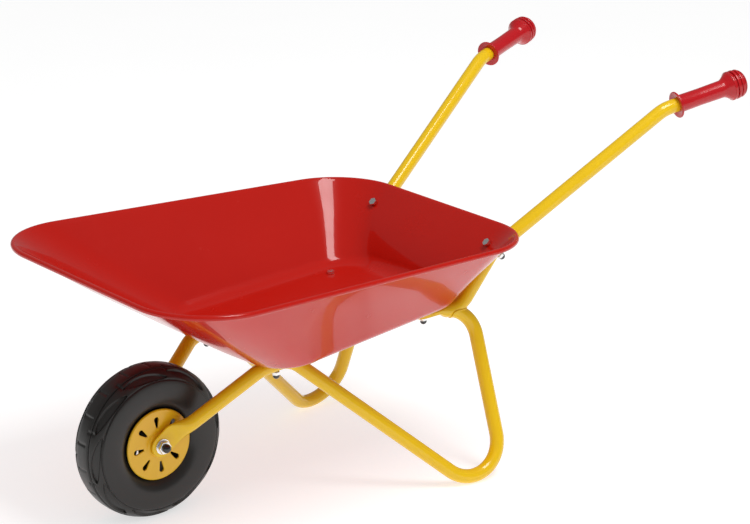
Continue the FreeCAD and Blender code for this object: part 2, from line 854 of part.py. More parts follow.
SKIRT_END = "hub_face - hub_plate"
BEAD = "hub_skirt_radius + press_clearance"
OUTER_FLANK = [
    (BEAD, "hub_face - hub_plate - 0.5"),
    ("hub_radius + seat_gap", "hub_face - hub_plate - 0.5"),
    ("hub_radius + seat_gap", "hub_face - 0.5"),
    ("hub_radius + 3", "tyre_half_width - 2"),
    ("hub_radius + 11", "tyre_half_width - 0.4"),
    ("hub_radius + 20", "tyre_half_width"),
    ("wheel_radius - shoulder_drop - 5", "tyre_half_width - 0.4"),
    ("wheel_radius - shoulder_drop", "tyre_half_width - 1.5"),
    ("wheel_radius - shoulder_drop + 5", "tyre_half_width - 4.6"),
    ("wheel_radius - tread_drop - 1.6", "tread_half_width + 3"),
    ("wheel_radius - tread_drop", "tread_half_width"),
    ("wheel_radius - 0.5", "tread_half_width / 2"),
]
INNER_FLANK = [
    (BEAD, "hub_face - hub_plate - 0.5 - tyre_wall"),
    ("hub_radius + 3", "hub_face - hub_plate - tyre_wall"),
    ("hub_radius + 20", "tyre_half_width - tyre_wall"),
    ("wheel_radius - shoulder_drop - 2", "tyre_half_width - tyre_wall - 1.5"),
    ("wheel_radius - tread_drop - tyre_wall - 1", "tread_half_width"),
]


def mirrored(flank):
    return [(radius, f"-({height})") for radius, height in reversed(flank)]


crown = [("wheel_radius", "0")]
inner_crown = [("wheel_radius - tyre_wall", "0")]
TYRE_PROFILE = OUTER_FLANK + crown + mirrored(OUTER_FLANK)
TYRE_PROFILE += [(r, f"-({z})") for r, z in INNER_FLANK] + inner_crown + list(reversed(INNER_FLANK))

tyre = turned_body("tyre", TYRE_PROFILE)
tyre.Placement = facing(AXLE_POINT, OUT)

BUSH_SEAT = "bush_radius + press_clearance"
DISC_PROFILE = [
    (BUSH_SEAT, SKIRT_END),
    ("hub_skirt_radius - hub_skirt_wall", SKIRT_END),
    ("hub_skirt_radius - hub_skirt_wall", "seat_gap / 2"),
    ("hub_skirt_radius", "seat_gap / 2"),
    ("hub_skirt_radius", SKIRT_END),
    ("hub_radius", SKIRT_END),
    ("hub_radius", "hub_face - 1"),
    ("hub_radius - 1.2", "hub_face"),
    ("hub_boss_radius + 1", "hub_face - 0.5"),
    ("hub_boss_radius", "hub_boss_face"),
    (BUSH_SEAT, "hub_boss_face"),
]


def slot_sketch(body, label):
    """A teardrop: a small arc towards the boss, a larger one towards the rim, tangent sides."""
    sketch = body.newObject("Sketcher::SketchObject", label + "_slot")
    sketch.AttachmentSupport = (plane_of(body, "XY_Plane"), [""])
    sketch.MapMode = "FlatFace"
    small = size("slot_inner_half")
    large = size("slot_outer_half")
    near = Vector(size("slot_inner") + small, 0, 0)
    far = Vector(size("slot_outer") - large, 0, 0)
    lean = math.acos((small - large) / (far.x - near.x))
    turn = Vector(math.cos(lean), math.sin(lean), 0)
    low = Vector(turn.x, -turn.y, 0)
    up = Vector(0, 0, 1)
    sketch.addGeometry(Part.ArcOfCircle(Part.Circle(near, up, small), lean, 2 * math.pi - lean))
    sketch.addGeometry(Part.LineSegment(near + low * small, far + low * large))
    sketch.addGeometry(Part.ArcOfCircle(Part.Circle(far, up, large), -lean, lean))
    sketch.addGeometry(Part.LineSegment(far + turn * large, near + turn * small))
    for first, first_end, second, second_end in ((0, 2, 1, 1), (1, 2, 2, 1), (2, 2, 3, 1), (3, 2, 0, 1)):
        sketch.addConstraint(Sketcher.Constraint("Tangent", first, first_end, second, second_end))
    for arc in (0, 2):
        sketch.addConstraint(Sketcher.Constraint("PointOnObject", arc, 3, -1))
    named = (("Radius", (0, small), "slot_inner_half"), ("Radius", (2, large), "slot_outer_half"),
             ("DistanceX", (-1, 1, 0, 3, near.x), "slot_inner + slot_inner_half"),
             ("DistanceX", (-1, 1, 2, 3, far.x), "slot_outer - slot_outer_half"))
    for kind, values, text in named:
        place_in_list = sketch.addConstraint(Sketcher.Constraint(kind, *values))
        sketch.setExpression(f"Constraints[{place_in_list}]", bound(text))
    return sketch


def hub_disc(label, outward):
    body = turned_body(label, DISC_PROFILE)
    plain = body.Shape.Volume
    sketch = slot_sketch(body, label)
    slot = body.newObject("PartDesign::Pocket", label + "_slot_cut")
    slot.Profile = sketch
    slot.Type = "ThroughAll"
    slot.Midplane = True
    doc.recompute()
    around = body.newObject("PartDesign::PolarPattern", label + "_slots")
    around.Originals = [slot]
    around.Axis = (sketch, ["N_Axis"])
    around.Angle = 360
    around.setExpression("Occurrences", bound("slot_count"))
    body.Tip = around
    doc.recompute()
    if not body.Shape.Volume < plain:
        raise RuntimeError(label + " has no slots")
    lay = Rotation(Vector(1, 0, 0), -90 * outward.y)
    spin = Rotation(Vector(0, 0, 1), size("slot_phase"))
    body.Placement = Placement(AXLE_POINT, lay * spin)


hub_disc("left_hub_disc", OUT * -1)
hub_disc("right_hub_disc", OUT)

SLEEVE_PROFILE = [
    (BUSH_SEAT, f"-({SKIRT_END})"),
    ("sleeve_radius", f"-({SKIRT_END})"),
    ("sleeve_radius", SKIRT_END),
    (BUSH_SEAT, SKIRT_END),
]
sleeve = turned_body("hub_sleeve", SLEEVE_PROFILE)
sleeve.Placement = facing(AXLE_POINT, OUT)

BUSH_PROFILE = [
    (AXLE_BORE, "hub_boss_face + bush_flange - bush_length"),
    ("bush_radius", "hub_boss_face + bush_flange - bush_length"),
    ("bush_radius", "hub_boss_face"),
    ("bush_flange_radius", "hub_boss_face"),
    ("bush_flange_radius", "hub_boss_face + bush_flange"),
    (AXLE_BORE, "hub_boss_face + bush_flange"),
]
for bush_name, bush_way in (("left_bush", OUT * -1), ("right_bush", OUT)):
    bush = turned_body(bush_name, BUSH_PROFILE)
    bush.Placement = facing(AXLE_POINT, bush_way)

# ---------------------------------------------------------------- grips

for side in ("left", "right"):
    grip = turned_body(side + "_grip", grip_profile())
    direction = grip_direction()
    direction.y = across(direction.y, side)
    grip.Placement = facing(place(grip_start(), side), direction)

# ---------------------------------------------------------------- checks and files

doc.recompute()
for item in doc.Objects:
    if "Invalid" in item.State or "Error" in item.State:
        raise RuntimeError(f"{item.Label} failed: {item.State}")
for item in nodes:
    if item.Shape.isNull() or not item.Shape.isValid():
        raise RuntimeError(f"{item.Label} has no valid shape")

os.makedirs("parts", exist_ok=True)
for item in nodes:
    item.Shape.exportStep(os.path.join("parts", item.Label + ".step"))

front = min(item.Shape.BoundBox.XMin for item in nodes)
rear = max(item.Shape.BoundBox.XMax for item in nodes)
print(f"{len(nodes)} nodes, x from {front:.2f} to {rear:.2f} mm")
for item in nodes:
    box = item.Shape.BoundBox
    print(f"{item.Label}: {len(item.Shape.Solids)} solids, {item.Shape.Volume:.0f} mm3, "
          f"{box.XLength:.1f} x {box.YLength:.1f} x {box.ZLength:.1f}")
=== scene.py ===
# %% [markdown]
# # A small steel wheelbarrow
# A pressed tray stands on two bent tubes a side: a fork-and-leg tube and a handle tube. One hollow
# plastic wheel turns on a through axle. The measured model is loaded as a fixed frame, and the
# pieces made here are dressed onto it: a smooth tray, a tyre with its tread, moulded grips, weld
# beads, paint and plastic. Everything is in metres, +Z up, the wheel towards -X.

import math

import bmesh
import bpy
import numpy as np
from mathutils import Matrix, Vector


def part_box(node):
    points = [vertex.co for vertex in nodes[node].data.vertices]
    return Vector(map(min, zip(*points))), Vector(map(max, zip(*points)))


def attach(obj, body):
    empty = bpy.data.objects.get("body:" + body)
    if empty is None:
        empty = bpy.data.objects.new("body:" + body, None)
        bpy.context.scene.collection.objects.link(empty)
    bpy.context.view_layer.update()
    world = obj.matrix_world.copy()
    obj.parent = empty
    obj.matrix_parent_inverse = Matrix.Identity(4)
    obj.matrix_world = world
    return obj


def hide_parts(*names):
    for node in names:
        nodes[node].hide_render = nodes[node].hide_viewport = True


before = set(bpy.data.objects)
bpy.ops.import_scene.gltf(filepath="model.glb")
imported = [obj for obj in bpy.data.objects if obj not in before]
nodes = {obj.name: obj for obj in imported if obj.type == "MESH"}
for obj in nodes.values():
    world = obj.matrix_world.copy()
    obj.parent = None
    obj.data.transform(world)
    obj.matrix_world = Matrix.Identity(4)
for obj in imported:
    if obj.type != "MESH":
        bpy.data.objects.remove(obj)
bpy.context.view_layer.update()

# %% [markdown]
# ## A few measures
# The wheel's centre is known from the tyre's box, so it isn't typed twice. MM turns the maker's
# millimetres into metres. The left is the -Y side, and MERGE is how close two points of a
# measured mesh lie when they are really one.

# %% Measures
MM = 0.001
MERGE = 2e-6
SIDES = ((-1, "left"), (1, "right"))
tyre_low, tyre_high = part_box("tyre")
AXLE = (tyre_low + tyre_high) / 2
WHEEL_RADIUS = (tyre_high.z - tyre_low.z) / 2
AXLE.z = WHEEL_RADIUS
print("axle at", tuple(round(v, 4) for v in AXLE), "wheel radius", round(WHEEL_RADIUS, 4))

# %% [markdown]
# ## Maths on sockets
# A material is a recipe of numbers that change over the surface. Wiring Math nodes one by one
# hides the recipe, so one small class wraps a socket and lets plain Python operators add the
# nodes. The reflected forms (a number on the left) make 1 - mask and 0.2 + haze work too.

# %% Socket maths


class Flow:
    """A number, colour or vector that comes out of a node."""

    def __init__(self, finish, socket):
        self.finish = finish
        self.socket = socket

    def maths(self, operation, first, second=None):
        inputs = {0: first} if second is None else {0: first, 1: second}
        return self.finish.node("ShaderNodeMath", {"operation": operation}, inputs)

    def __add__(self, other):
        return self.maths("ADD", self, other)

    def __radd__(self, other):
        return self.maths("ADD", other, self)

    def __rsub__(self, other):
        return self.maths("SUBTRACT", other, self)

    def __mul__(self, other):
        return self.maths("MULTIPLY", self, other)


class Finish:
    """One material being mixed: node() adds any node, and shader is its Principled BSDF."""

    def __init__(self, name):
        self.material = bpy.data.materials.new(name)
        self.material.use_nodes = True
        self.tree = self.material.node_tree
        self.shader = self.tree.nodes["Principled BSDF"]
        self.coords = self.node("ShaderNodeTexCoord", output="Object")

    def feed(self, socket, value):
        if isinstance(value, Flow):
            self.tree.links.new(value.socket, socket)
        else:
            socket.default_value = value

    def node(self, kind, settings=None, inputs=None, output=0):
        made = self.tree.nodes.new(kind)
        for key, value in (settings or {}).items():
            setattr(made, key, value)
        for key, value in (inputs or {}).items():
            self.feed(made.inputs[key], value)
        return Flow(self, made.outputs[output])

    def noise(self, scale, detail=2.0, roughness=0.5, stretch=None):
        """Cloudy values from 0 to 1; scale is in blobs per metre."""
        place = self.coords
        if stretch:
            place = self.node("ShaderNodeMapping", inputs={
                "Vector": self.coords, "Scale": stretch})
        return self.node("ShaderNodeTexNoise", inputs={
            "Vector": place, "Scale": scale, "Detail": detail, "Roughness": roughness})

    def band(self, value, low, high):
        """0 below low, 1 above high, smooth between."""
        return self.node("ShaderNodeMapRange", {"interpolation_type": "SMOOTHSTEP"}, {
            "Value": value, "From Min": low, "From Max": high})

    def mix(self, share, first, second):
        """A colour part of the way from first to second."""
        return self.node("ShaderNodeMix", {"data_type": "RGBA"}, {
            "Factor": share, 6: (*first, 1) if isinstance(first, tuple) else first,
            7: (*second, 1) if isinstance(second, tuple) else second}, output=2)

    def set(self, **values):
        """Sets shader sockets; an underscore in a name stands for a space."""
        for name, value in values.items():
            if isinstance(value, tuple) and len(value) == 3:
                value = (*value, 1)
            self.feed(self.shader.inputs[name.replace("_", " ")], value)
        return self

    def bump(self, height, depth, strength=1.0):
        """Surface relief: height from 0 to 1 stands for depth metres."""
        normal = self.node("ShaderNodeBump", inputs={
            "Height": height * depth, "Distance": 1.0, "Strength": strength})
        self.feed(self.shader.inputs["Normal"], normal)
        return self


# %% [markdown]
# ## Paint on the tray
# The tray is pressed sheet steel with a thick, wet-looking red coat. A glossy coat isn't a
# perfect mirror: it keeps a faint orange peel, the sheet below is never quite flat, and handling
# leaves a haze that only shows as roughness. A coloured base under a clear coat gives both the
# deep red and the white reflections at a shallow angle.

# %% Red paint


def red_paint():
    finish = Finish("red_tray_paint")
    cloud = finish.noise(9.0, detail=3.0)
    haze = finish.band(finish.noise(34.0, detail=4.0, roughness=0.6), 0.46, 0.80)
    speck = finish.band(finish.noise(900.0, detail=1.0), 0.72, 0.78)
    tone = finish.mix(cloud, (0.500, 0.0070, 0.0025), (0.550, 0.0095, 0.0032))
    tone = finish.mix(speck * 0.30, tone, (0.34, 0.005, 0.002))
    finish.set(Base_Color=tone, Roughness=0.22 + haze * 0.08, IOR=1.45,
               Specular_IOR_Level=0.12, Coat_Weight=0.56 - haze * 0.10,
               Coat_Roughness=0.02, Coat_IOR=1.5)
    peel = finish.noise(420.0, detail=1.0) * 0.25 + finish.noise(11.0, detail=1.0) * 9.0
    return finish.bump(peel, 0.00003, 0.6).material


RED_PAINT = red_paint()
print("made", RED_PAINT.name)

# %% [markdown]
# ## Paint on the tubes
# The tubes carry a golden yellow powder coat. It flows thin on tight bends and gathers in the
# valleys, so the tone drifts a little towards orange along the tube, with an orange peel under
# the gloss and a few rubbed spots near the ground.

# %% Yellow paint


def yellow_paint():
    finish = Finish("yellow_tube_paint")
    drift = finish.noise(12.0, detail=2.0)
    grain = finish.noise(260.0, detail=2.0)
    tone = finish.mix(drift, (0.84, 0.530, 0.006), (0.87, 0.570, 0.008))
    tone = finish.mix(finish.band(grain, 0.66, 0.84) * 0.12, tone, (0.80, 0.45, 0.006))
    height = finish.node("ShaderNodeSeparateXYZ", inputs={"Vector": finish.coords}, output="Z")
    near_ground = 1.0 - finish.band(height, 0.0, 0.020)
    chips = finish.band(finish.noise(120.0, detail=4.0, roughness=0.7), 0.62, 0.70)
    rubbed = chips * near_ground
    tone = finish.mix(rubbed * 0.45, tone, (0.42, 0.25, 0.05))
    finish.set(Base_Color=tone, Roughness=0.22 + grain * 0.04 + rubbed * 0.25, IOR=1.45,
               Specular_IOR_Level=0.20, Coat_Weight=0.60 - rubbed * 0.5,
               Coat_Roughness=0.04, Coat_IOR=1.5)
    peel = finish.noise(520.0, detail=1.0) * 0.25 + finish.noise(40.0, detail=1.0) * 2.0
    return finish.bump(peel, 0.00002, 0.5).material


YELLOW_PAINT = yellow_paint()
print("made", YELLOW_PAINT.name)

# %% [markdown]
# ## Moulded plastics
# The tyre is blow-moulded black plastic with a satin skin and faint flow marks. The hub discs are
# glossy yellow, the grips a softer, glossy red, and the small caps glossy black. One recipe with
# different numbers serves them all: two tones, a fine mould grain and a roughness that drifts.
# Little light gets in through the hub's slots, so the hub's inside is painted black as painted
# shade, from a set distance off the wheel's middle plane inwards.

# %% Plastics


def plastic(name, dark, light, roughness, spread, grain_scale, grain_depth, coat=0.0,
            painted_shade_within=0.0):
    """A moulded plastic; painted_shade_within is how far off the middle plane shade is painted
    black.
    """
    finish = Finish(name)
    flow = finish.noise(22.0, detail=4.0, roughness=0.6, stretch=(1.0, 2.5, 1.0))
    grain = finish.noise(grain_scale, detail=2.0)
    scuff = finish.band(finish.noise(70.0, detail=5.0, roughness=0.75), 0.58, 0.72)
    tone = finish.mix(flow, dark, light)
    # Painted shade: the hub's inside, where little light reaches through the slots, is painted
    # near-black.
    if painted_shade_within:
        across = finish.node("ShaderNodeSeparateXYZ", inputs={"Vector": finish.coords}, output="Y")
        off_middle = across.maths("ABSOLUTE", across)
        outside = finish.band(off_middle, painted_shade_within, painted_shade_within + 0.0004)
        tone = finish.mix(outside, (0.004, 0.004, 0.004), tone)
    finish.set(Base_Color=tone, IOR=1.48,
               Roughness=roughness + flow * spread + scuff * spread,
               Coat_Weight=coat, Coat_Roughness=0.08)
    return finish.bump(grain + scuff * 0.4, grain_depth, 0.8).material


TYRE_BLACK = plastic("tyre_black_plastic", (0.0125, 0.0118, 0.0105),
                     (0.0215, 0.0205, 0.0185), 0.29, 0.09, 700.0, 0.00004)
HUB_YELLOW = plastic("hub_yellow_plastic", (0.80, 0.45, 0.007), (0.87, 0.53, 0.010),
                     0.26, 0.06, 600.0, 0.00003, coat=0.25, painted_shade_within=0.0190)
GRIP_RED = plastic("grip_red_vinyl", (0.46, 0.002, 0.006), (0.55, 0.003, 0.009),
                   0.20, 0.05, 500.0, 0.00002, coat=0.25)
CAP_BLACK = plastic("cap_black_plastic", (0.006, 0.006, 0.007), (0.012, 0.012, 0.013),
                    0.14, 0.05, 400.0, 0.00002, coat=0.6)
print("made four plastics")

# %% [markdown]
# ## Zinc plate
# Bolts, nuts, washers and the axle are bright zinc: nearly white metal with a faint blue and
# yellow cast, dulled in patches and lightly brushed by the barrel they were plated in.

# %% Zinc


def zinc():
    finish = Finish("zinc_plate")
    cast = finish.noise(160.0, detail=3.0)
    dull = finish.band(finish.noise(420.0, detail=4.0, roughness=0.7), 0.45, 0.75)
    tone = finish.mix(cast, (0.82, 0.84, 0.88), (0.90, 0.89, 0.84))
    finish.set(Base_Color=tone, Metallic=1.0, Roughness=0.20 + dull * 0.22)
    return finish.bump(finish.noise(1500.0, detail=2.0), 0.00002, 0.6).material


ZINC = zinc()
print("made", ZINC.name)

# %% [markdown]
# ## Mesh helpers
# Most pieces here are a grid of points: rows that run across the piece and columns that run
# round it. One function turns such a grid into a mesh, and closes it round, along, or with caps.

# %% Mesh helpers


def piece_from(name, vertices, faces, body, material, smooth_angle):
    """A named mesh piece that rides on a body and takes the given material."""
    mesh = bpy.data.meshes.new(name)
    mesh.from_pydata([tuple(v) for v in vertices], [], [tuple(f) for f in faces])
    mesh.validate()
    fix = bmesh.new()
    fix.from_mesh(mesh)
    bmesh.ops.recalc_face_normals(fix, faces=fix.faces)
    fix.to_mesh(mesh)
    fix.free()
    mesh.shade_smooth()
    mesh.set_sharp_from_angle(angle=math.radians(smooth_angle))
    piece = bpy.data.objects.new(name, mesh)
    bpy.context.scene.collection.objects.link(piece)
    mesh.materials.append(material)
    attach(piece, body)
    return piece


def grid_faces(rows, columns, wrap_rows=False, wrap_columns=True, first=0):
    """Quads of a grid whose points are numbered row by row."""
    faces = []
    for r in range(rows if wrap_rows else rows - 1):
        below = first + r * columns
        above = first + ((r + 1) % rows) * columns
        for c in range(columns if wrap_columns else columns - 1):
            n = (c + 1) % columns
            faces.append((below + c, below + n, above + n, above + c))
    return faces


def rounded(points, radii, steps=5):
    """A polyline whose inner corners are rounded by tangent arcs of the given radii."""
    out = [np.array(points[0], float)]
    for i in range(1, len(points) - 1):
        corner = np.array(points[i], float)
        back = np.array(points[i - 1], float) - corner
        ahead = np.array(points[i + 1], float) - corner
        back_length, ahead_length = np.linalg.norm(back), np.linalg.norm(ahead)
        back, ahead = back / back_length, ahead / ahead_length
        radius = radii[i] if hasattr(radii, "__len__") else radii
        half = math.acos(max(-1.0, min(1.0, float(back @ ahead)))) / 2
        if radius <= 0 or half > math.radians(89.5):
            out.append(corner)
            continue
        reach = min(radius / math.tan(half), 0.49 * back_length, 0.49 * ahead_length)
        radius = reach * math.tan(half)
        bisector = (back + ahead) / np.linalg.norm(back + ahead)
        centre = corner + bisector * radius / math.sin(half)
        start, end = corner + back * reach - centre, corner + ahead * reach - centre
        sweep = math.pi - 2 * half
        for k in range(steps + 1):
            a = k / steps
            arm = start * math.sin((1 - a) * sweep) + end * math.sin(a * sweep)
            out.append(centre + arm / math.sin(sweep))
    out.append(np.array(points[-1], float))
    return np.array(out)


def axes_along(direction):
    """A rotation whose local +Z is the direction."""
    return Vector(direction).to_track_quat("Z", "Y").to_matrix().to_4x4()


def turned(name, profile, origin, direction, body, material, steps, smooth_angle):
    """A piece turned on a lathe: profile is (radius, height) along the direction from origin."""
    angles = np.linspace(0, 2 * math.pi, steps, endpoint=False)
    points = [[(r * math.cos(a), r * math.sin(a), z) for a in angles] for r, z in profile]
    points = np.array(points).reshape(-1, 3)
    place = np.array(Matrix.Translation(Vector(origin)) @ axes_along(direction))
    points = points @ place[:3, :3].T + place[:3, 3]
    faces = grid_faces(len(profile), steps)
    vertices = list(points)
    for row in (0, len(profile) - 1):
        if profile[row][0] < 1e-6:
            for c in range(steps):
                vertices[row * steps + c] = points[row * steps]
    piece = piece_from(name, vertices, faces, body, material, smooth_angle)
    clean = bmesh.new()
    clean.from_mesh(piece.data)
    bmesh.ops.remove_doubles(clean, verts=clean.verts, dist=1e-7)
    bmesh.ops.recalc_face_normals(clean, faces=clean.faces)
    clean.to_mesh(piece.data)
    clean.free()
    piece.data.shade_smooth()
    piece.data.set_sharp_from_angle(angle=math.radians(smooth_angle))
    return piece


print("helpers ready")

# %% [markdown]
# ## The tray
# The real tray is one blank of steel, pressed into a sloping-sided bowl, its edge rolled outward
# round a wire. It could be a box with bevels, but the walls flare and curve at once. So it is
# drawn as a draughtsman would: a rounded plan at the floor, at the waist and at the rim, each
# sampled at the same places, and a section swept through them with a bend radius at the floor
# and the rolled bead at the top. The outer skin is the inner one moved out by the sheet's
# thickness, so the piece is closed and has a real edge. Sizes are in millimetres, and stations
# are counted from the axle towards the handles. A half is half the width at that end.

# %% The tray's plans
STATION_ZERO = AXLE.x / MM
SHEET = 1.0
BEAD = 3.0
BEND = 24.0
FLOOR_FRONT, FLOOR_REAR = 95, 356
FLOOR_FRONT_HALF, FLOOR_REAR_HALF = 120, 102
FLOOR_FRONT_CORNER, FLOOR_REAR_CORNER = 47, 45
RIM_FRONT, RIM_REAR = -81.7, 410.5
RIM_FRONT_HALF, RIM_REAR_HALF = 203.5, 175
RIM_FRONT_CORNER, RIM_REAR_CORNER = 88, 80
WAIST = 0.6
WAIST_REAR_IN, WAIST_SIDE_IN, WAIST_CORNER_LESS = 7, 3, 15
BOLT_STATION, BOLT_HEIGHT, FLOOR_SLOPE = 120.5, 171.0, 0.094
RIM_FRONT_HEIGHT, RIM_SLOPE = 282.3, 0.0145
FLOOR_DOWN = np.array([0.0936, 0, -0.9956])


def floor_height(x):
    return BOLT_HEIGHT + FLOOR_SLOPE * (x - BOLT_STATION)


def rim_height(x):
    return RIM_FRONT_HEIGHT - RIM_SLOPE * (x - RIM_FRONT) - BEAD


def plan(front, rear, front_half, rear_half, front_corner, rear_corner, height,
         straight=28, arc=26):
    """A closed loop with four rounded corners: points, and the outward way at each one."""
    corners = np.array([(front, -front_half), (rear, -rear_half),
                        (rear, rear_half), (front, front_half)], float)
    radii = [front_corner, rear_corner, rear_corner, front_corner]
    runs = []
    for i, radius in enumerate(radii):
        back = corners[i - 1] - corners[i]
        ahead = corners[(i + 1) % 4] - corners[i]
        back, ahead = back / np.linalg.norm(back), ahead / np.linalg.norm(ahead)
        half = math.acos(float(back @ ahead)) / 2
        bisector = (back + ahead) / np.linalg.norm(back + ahead)
        centre = corners[i] + bisector * radius / math.sin(half)
        start = corners[i] + back * radius / math.tan(half) - centre
        end = corners[i] + ahead * radius / math.tan(half) - centre
        first = math.atan2(start[1], start[0])
        turn = (math.atan2(end[1], end[0]) - first + math.pi) % (2 * math.pi) - math.pi
        angles = first + turn * np.linspace(0, 1, arc)
        runs.append((centre + radius * np.stack([np.cos(angles), np.sin(angles)], 1),
                     np.stack([np.cos(angles), np.sin(angles)], 1)))
    points, outward = [], []
    for i, (curve, normal) in enumerate(runs):
        following = runs[(i + 1) % 4][0][0]
        shares = np.linspace(0, 1, straight + 2)[1:-1, None]
        points += [curve, curve[-1] + (following - curve[-1]) * shares]
        outward += [normal, np.repeat(normal[-1:], straight, 0)]
    points, outward = np.concatenate(points), np.concatenate(outward)
    return np.column_stack([points, height(points[:, 0])]), outward


def between(low, high):
    return low + WAIST * (high - low)


def waist_height(x):
    return between(floor_height(x), rim_height(x))


EDGE = 2 * BEAD - SHEET
TOP = (RIM_FRONT + EDGE, RIM_REAR - EDGE, RIM_FRONT_HALF - EDGE, RIM_REAR_HALF - EDGE)
floor_plan, floor_out = plan(
    FLOOR_FRONT, FLOOR_REAR, FLOOR_FRONT_HALF, FLOOR_REAR_HALF,
    FLOOR_FRONT_CORNER, FLOOR_REAR_CORNER, floor_height)
waist_plan, _ = plan(
    between(FLOOR_FRONT, TOP[0]),
    between(FLOOR_REAR, TOP[1]) - WAIST_REAR_IN,
    between(FLOOR_FRONT_HALF, TOP[2]) - WAIST_SIDE_IN,
    between(FLOOR_REAR_HALF, TOP[3]) - WAIST_SIDE_IN,
    between(FLOOR_FRONT_CORNER, RIM_FRONT_CORNER),
    between(FLOOR_REAR_CORNER, RIM_REAR_CORNER) - WAIST_CORNER_LESS,
    waist_height)
top_plan, top_out = plan(*TOP, RIM_FRONT_CORNER - EDGE, RIM_REAR_CORNER - EDGE, rim_height)
print("tray plans of", len(floor_plan), "points")

# %% [markdown]
# The wall is a smooth curve through the three plans. A fillet joins it to the floor: an arc that
# touches the floor on one side and the wall on the other. The bead is a circle that the wall
# meets along its tangent, rolled on round until it nearly touches the wall again from outside.

# %% The tray's section
FILLET_STEPS = 12
WALL_STEPS = 24
JOIN_ROWS = 10


def wall_point(share):
    """The wall's inner face at a share of its height: one share, or one for each column."""
    share = np.reshape(share, (-1, 1))
    low = (share - WAIST) * (share - 1) / WAIST
    middle = share * (share - 1) / (WAIST * (WAIST - 1))
    high = share * (share - WAIST) / (1 - WAIST)
    return floor_plan * low + waist_plan * middle + top_plan * high


def normalised(vectors):
    return vectors / np.linalg.norm(vectors, axis=-1, keepdims=True)


def inner_rows():
    """Rows of the inner face from the floor's edge to the bead's tangent point."""
    wall_way = normalised(wall_point(0.02) - wall_point(0.0))
    inward = normalised(np.column_stack([-floor_out, -FLOOR_SLOPE * floor_out[:, 0]]))
    half = np.arccos(np.sum(wall_way * inward, 1)) / 2
    reach = (BEND / np.tan(half))[:, None]
    bisector = normalised(wall_way + inward)
    centre = floor_plan + bisector * (BEND / np.sin(half))[:, None]
    start = floor_plan + inward * reach - centre
    end = floor_plan + wall_way * reach - centre
    sweep = (math.pi - 2 * half)[:, None]
    rows = []
    for k in range(FILLET_STEPS + 1):
        a = k / FILLET_STEPS
        arm = (start * np.sin((1 - a) * sweep) + end * np.sin(a * sweep)) / np.sin(sweep)
        rows.append(centre + arm)
    wall_length = np.linalg.norm(wall_point(WAIST) - wall_point(0.0), axis=1) / WAIST
    first_share = reach[:, 0] / wall_length
    correction = rows[-1] - wall_point(first_share)
    for k in range(1, WALL_STEPS + 1):
        a = k / WALL_STEPS
        row = wall_point(first_share + (1 - first_share) * a)
        rows.append(row + correction * (1 - a) ** 2)
    return rows


def on_bead(angle):
    """Points of the rolled bead at an angle, counted up from the outward way."""
    return bead_centre + BEAD * (np.cos(angle)[:, None] * rim_out + np.sin(angle)[:, None] * up)


rows = inner_rows()
rim_out = np.column_stack([top_out, np.zeros(len(top_out))])
up = np.array([0.0, 0.0, 1.0])
bead_centre = top_plan + rim_out * (EDGE - BEAD)
flare = rows[-1] - rows[-4]
lean = np.arctan2(flare[:, 2], np.sum(flare * rim_out, 1))
join_angle = math.pi / 2 + lean
join = on_bead(join_angle)
shift = join - rows[-1]
for k in range(1, JOIN_ROWS):
    rows[k - JOIN_ROWS - 1] = rows[k - JOIN_ROWS - 1] + shift * (k / JOIN_ROWS) ** 2
rows[-1] = join
print("inner face has", len(rows), "rows")

# %% [markdown]
# The outer skin comes from the inner rows: each point moves out along the surface's own normal by
# the sheet's thickness. The rows are then strung together: floor, inner face, bead, outer face,
# underside.

# %% The tray's skin
BEAD_TURN = math.radians(285)
BEAD_STEPS = 18


def surface_normals(grid):
    across = np.roll(grid, -1, 1) - np.roll(grid, 1, 1)
    along = np.gradient(grid, axis=0)
    return normalised(np.cross(across, along))


def underside(ring):
    return ring + FLOOR_DOWN * SHEET


inner = np.array(rows)
normals = surface_normals(inner)
middle_row = FILLET_STEPS + WALL_STEPS // 3
if normals[middle_row, 5] @ np.append(top_out[5], -0.3) < 0:
    normals = -normals
outer = inner + normals * SHEET
bead_rows = [on_bead(join_angle - BEAD_TURN * k / BEAD_STEPS) for k in range(1, BEAD_STEPS + 1)]
floor_centre = inner[0].mean(0)
inset_ring = inner[0] + normalised(floor_centre - inner[0]) * 3.0
deep_ring = floor_centre + (inner[0] - floor_centre) * 0.5
grid = np.array([deep_ring, inset_ring, *inner, *bead_rows, *outer[::-1][1:],
                 underside(inset_ring), underside(deep_ring)])
grid[..., 0] += STATION_ZERO
columns = grid.shape[1]
vertices = grid.reshape(-1, 3) * MM
faces = grid_faces(len(grid), columns)
faces.append(tuple(range(columns)))
faces.append(tuple(reversed(range((len(grid) - 1) * columns, len(grid) * columns))))
tray = piece_from("tray_shell", vertices, faces, "frame", RED_PAINT,
                  smooth_angle=50.0)
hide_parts("tray")
print("tray shell has", len(tray.data.polygons), "faces")

# %% [markdown]
# ## The tyre
# The tyre is blown in one piece: a rounded sidewall that dips in towards the hub, a soft crease
# at the shoulder, and a tread of shallow leaf-shaped scoops between the shoulder and a groove
# round the crown. A ring of profile points is swept round the axle, and the tread is pressed into
# it by moving points towards the axle where a mask says so. That keeps the edges of the scoops
# soft, as in a real mould, which a boolean cut would not.

# %% The tyre's section
SIDEWALL = [
    (40.05, 15.2), (40.6, 16.9), (43.2, 19.4), (47.0, 22.4), (51.5, 24.2), (57.0, 24.9),
    (63.0, 24.8), (68.5, 24.2), (72.0, 23.3), (73.0, 22.5), (75.2, 21.7), (78.4, 19.6),
    (81.0, 16.8), (82.8, 13.9), (84.0, 10.4), (84.8, 5.6), (85.0, 0.0),
]
TREAD_LIMIT = 84.98
BORE_RADIUS, BORE_HALF = 38.2, 14.6


